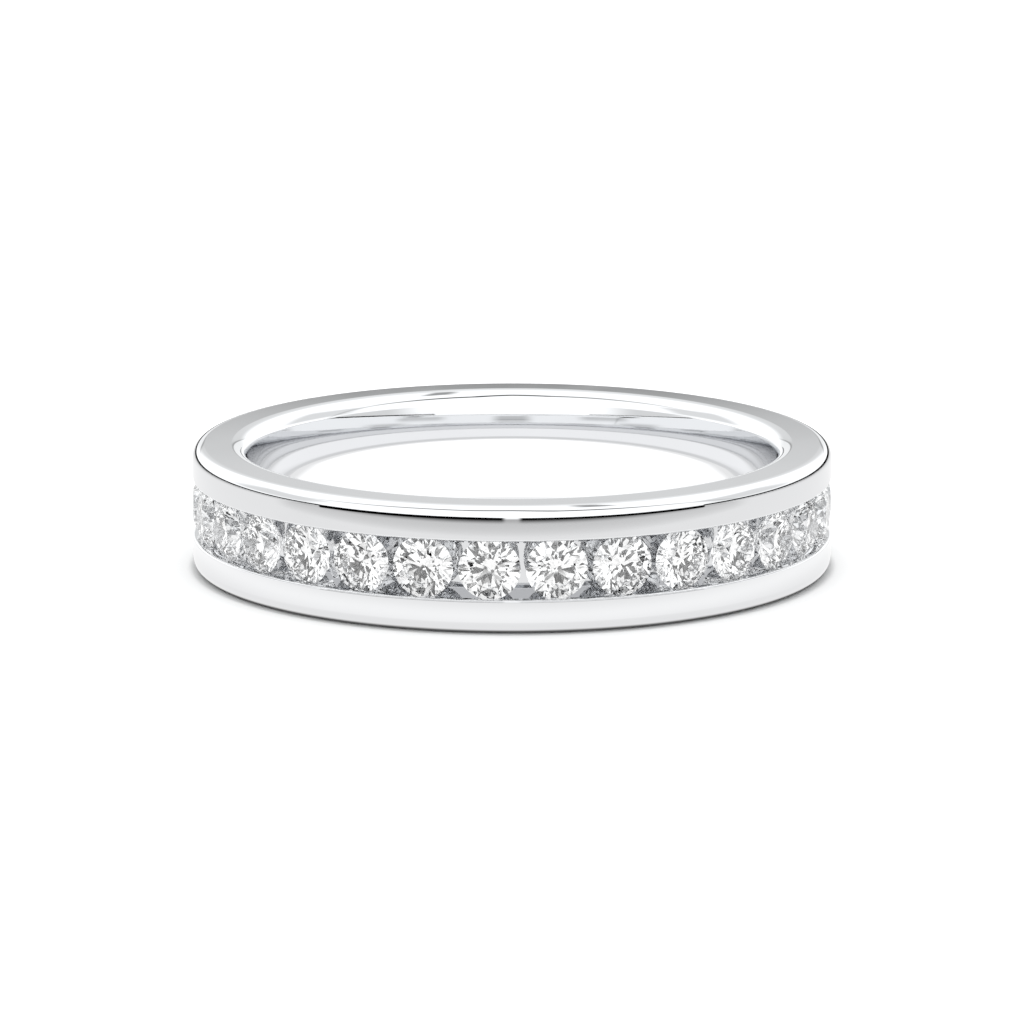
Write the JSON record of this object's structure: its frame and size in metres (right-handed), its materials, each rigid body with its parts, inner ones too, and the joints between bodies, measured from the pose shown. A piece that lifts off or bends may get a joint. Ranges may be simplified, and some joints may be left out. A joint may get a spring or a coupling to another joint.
{
  "type": "channel set band",
  "caption": "Polished white metal ring with a full circle of round brilliant stones held between two plain rails, rounded inside.",
  "frame": {"origin": "on the ring's axis, in the plane of the side face that it lies on", "axes": "+Z along the ring's axis and up as it lies on its side; -Y towards the front that the picture shows"},
  "size_m": [0.0196, 0.0196, 0.0038],
  "materials": {
    "band_metal": "mirror polished white gold",
    "stone": "clear brilliant-cut diamond"
  },
  "bodies": {
    "root": {"band": "band_metal", "stone_01": "stone", "stone_02": "stone", "stone_03": "stone", "stone_04": "stone", "stone_05": "stone", "stone_06": "stone", "stone_07": "stone", "stone_08": "stone", "stone_09": "stone", "stone_10": "stone", "stone_11": "stone", "stone_12": "stone", "stone_13": "stone", "stone_14": "stone", "stone_15": "stone", "stone_16": "stone", "stone_17": "stone", "stone_18": "stone", "stone_19": "stone", "stone_20": "stone", "stone_21": "stone", "stone_22": "stone", "stone_23": "stone", "stone_24": "stone", "stone_25": "stone", "stone_26": "stone", "stone_27": "stone", "stone_28": "stone", "stone_29": "stone", "stone_30": "stone"}
  },
  "joints": []
}
